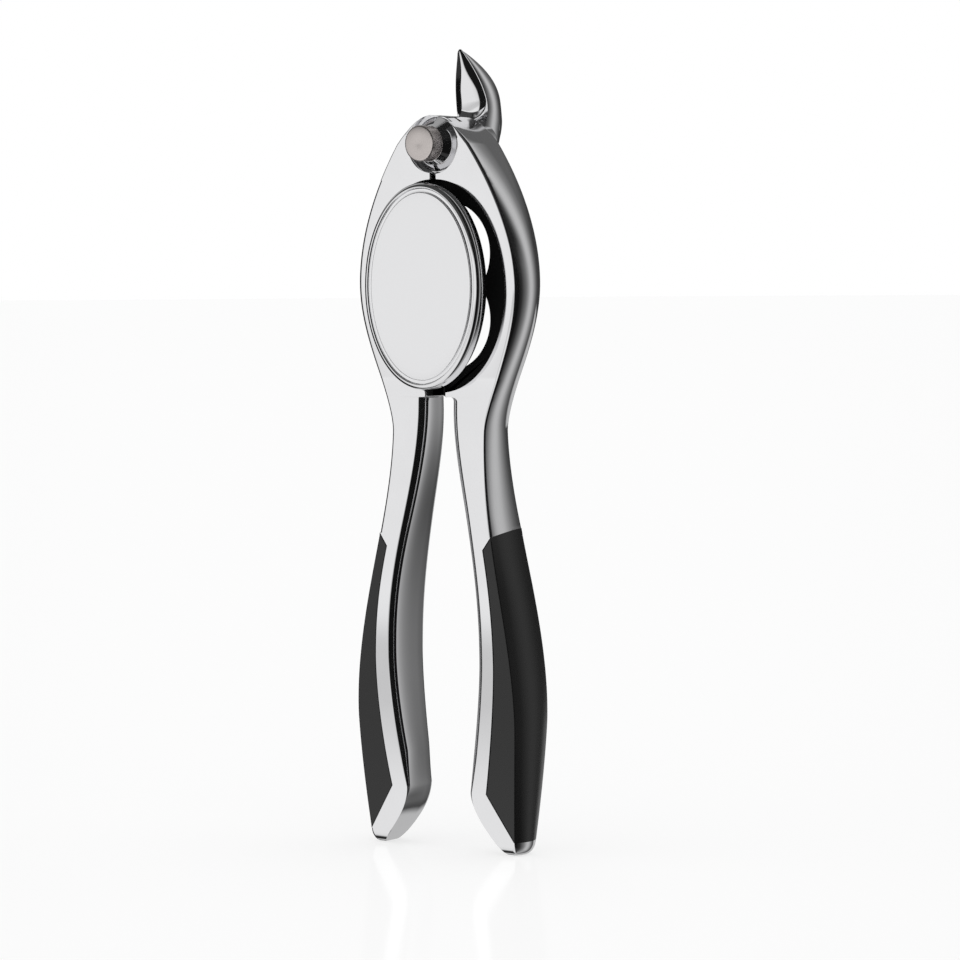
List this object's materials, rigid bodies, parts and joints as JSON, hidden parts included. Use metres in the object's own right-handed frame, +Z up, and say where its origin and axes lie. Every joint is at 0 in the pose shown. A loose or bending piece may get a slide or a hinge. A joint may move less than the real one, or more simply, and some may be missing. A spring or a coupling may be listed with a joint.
{
  "type": "champagne opener",
  "caption": "Plier-like sparkling wine opener: hinged chromed arms, oval jaw with rubber liners, cover disc over the cork, soft black grips and a hook for the wire.",
  "frame": {"origin": "on the standing plane, under the middle of the object's box", "axes": "+X towards the right arm seen from the front, +Y from the cover disc to the back, +Z up from the toes to the hook"},
  "size_m": [0.0522, 0.0326, 0.1994],
  "materials": {
    "chrome": "polished",
    "disc_satin": "fine satin, bare",
    "pin_steel": "fine turned satin",
    "steel": "plain",
    "bronze": "plain bearing bronze",
    "grip": "soft matt",
    "liner": "matt"
  },
  "bodies": {
    "left_half": {"left_arm": "chrome", "left_grip": "grip", "left_jaw_liner": "liner", "disc_cup": "chrome", "disc_face": "disc_satin", "disc_screws": "steel", "pivot_pin": "pin_steel", "pin_collar": "chrome", "thrust_washer": "bronze", "wave_washer": "steel", "retaining_clip": "steel"},
    "right_half": {"right_arm": "chrome", "right_grip": "grip", "right_jaw_liner": "liner", "pivot_bush": "bronze", "wire_hook": "chrome", "hook_dowels": "steel"}
  },
  "joints": [
    {"name": "arm_hinge", "type": "hinge", "parent": "left_half", "child": "right_half", "pos_m": [0, -0.00424, 0.1756], "axis": [0, -1, 0], "range_deg": [-3.7, 35]}
  ]
}
